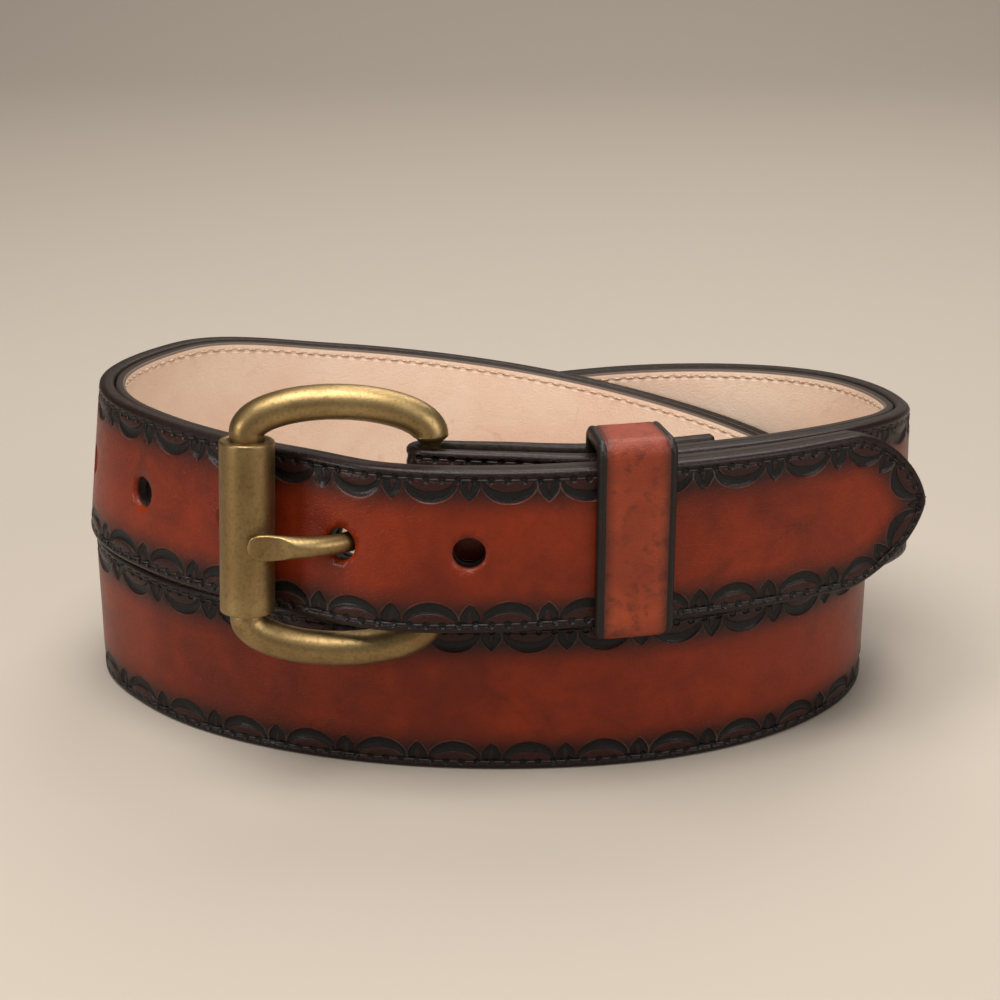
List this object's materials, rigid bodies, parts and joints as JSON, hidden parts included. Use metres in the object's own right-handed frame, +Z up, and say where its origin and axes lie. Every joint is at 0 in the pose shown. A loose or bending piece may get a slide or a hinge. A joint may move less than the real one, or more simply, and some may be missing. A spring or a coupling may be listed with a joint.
{
  "type": "belt",
  "caption": "Western leather belt with tooled borders and an antique brass roller buckle, fastened and coiled in two turns on its edge.",
  "frame": {"origin": "bottom centre of the bounding box, on the surface that the coil stands on", "axes": "+Z up, +X along the coil's long side to the right, -Y to the front, where the buckle is"},
  "size_m": [0.1748, 0.121, 0.0803],
  "materials": {
    "tooled_leather": "glossy, mottled chestnut with a dark stamped border",
    "natural_leather": "matte natural tan",
    "keeper_leather": "semi-matte brown with dark creased edges",
    "antique_brass": "brushed matte antique"
  },
  "bodies": {
    "belt": {"strap_outer": "tooled_leather", "strap_lining": "natural_leather", "keeper_loop": "keeper_leather", "buckle_frame": "antique_brass", "buckle_prong": "antique_brass"},
    "roller": {"buckle_roller": "antique_brass"}
  },
  "joints": [
    {"name": "roller_spin", "type": "hinge", "parent": "belt", "child": "roller", "pos_m": [-0.04776, -0.05144, 0.0533], "axis": [0.0274, 0.0953, 0.9951], "continuous": true}
  ]
}
